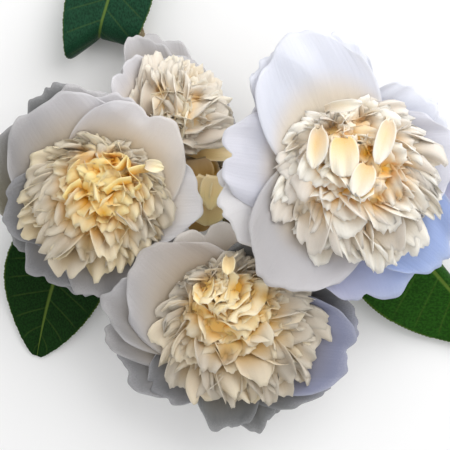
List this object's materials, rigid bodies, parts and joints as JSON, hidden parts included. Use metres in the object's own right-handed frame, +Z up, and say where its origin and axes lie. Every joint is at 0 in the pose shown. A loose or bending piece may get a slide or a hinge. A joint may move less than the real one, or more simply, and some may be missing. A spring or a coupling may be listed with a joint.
{
  "type": "camellia sprig",
  "caption": "Cut camellia sprig lying on its twig, with cream anemone-form blooms and dark green leaves.",
  "frame": {"origin": "middle of the sprig's outline, on the floor that it lies on", "axes": "+Z up, +Y toward the twig's cut end, +X to the right of the picture"},
  "size_m": [0.186, 0.2244, 0.0654],
  "materials": {
    "bark": "fine grey-brown bark, matt",
    "petal": "soft, nearly white, satin",
    "petaloid": "soft, pale cream, golden at the foot",
    "sepal": "green-brown scales, satin",
    "leaf": "dark green, glossy, with a pale midrib"
  },
  "bodies": {
    "root": {"main_twig": "bark", "right_twig": "bark", "left_twig": "bark", "top_twig": "bark", "right_bloom_petals": "petal", "low_bloom_petals": "petal", "left_bloom_petals": "petal", "top_bloom_petals": "petal", "right_bloom_centre": "petaloid", "low_bloom_centre": "petaloid", "left_bloom_centre": "petaloid", "top_bloom_centre": "petaloid", "right_bloom_calyx": "sepal", "low_bloom_calyx": "sepal", "left_bloom_calyx": "sepal", "top_bloom_calyx": "sepal", "left_leaf": "leaf", "right_leaf": "leaf", "top_leaf": "leaf"}
  },
  "joints": []
}
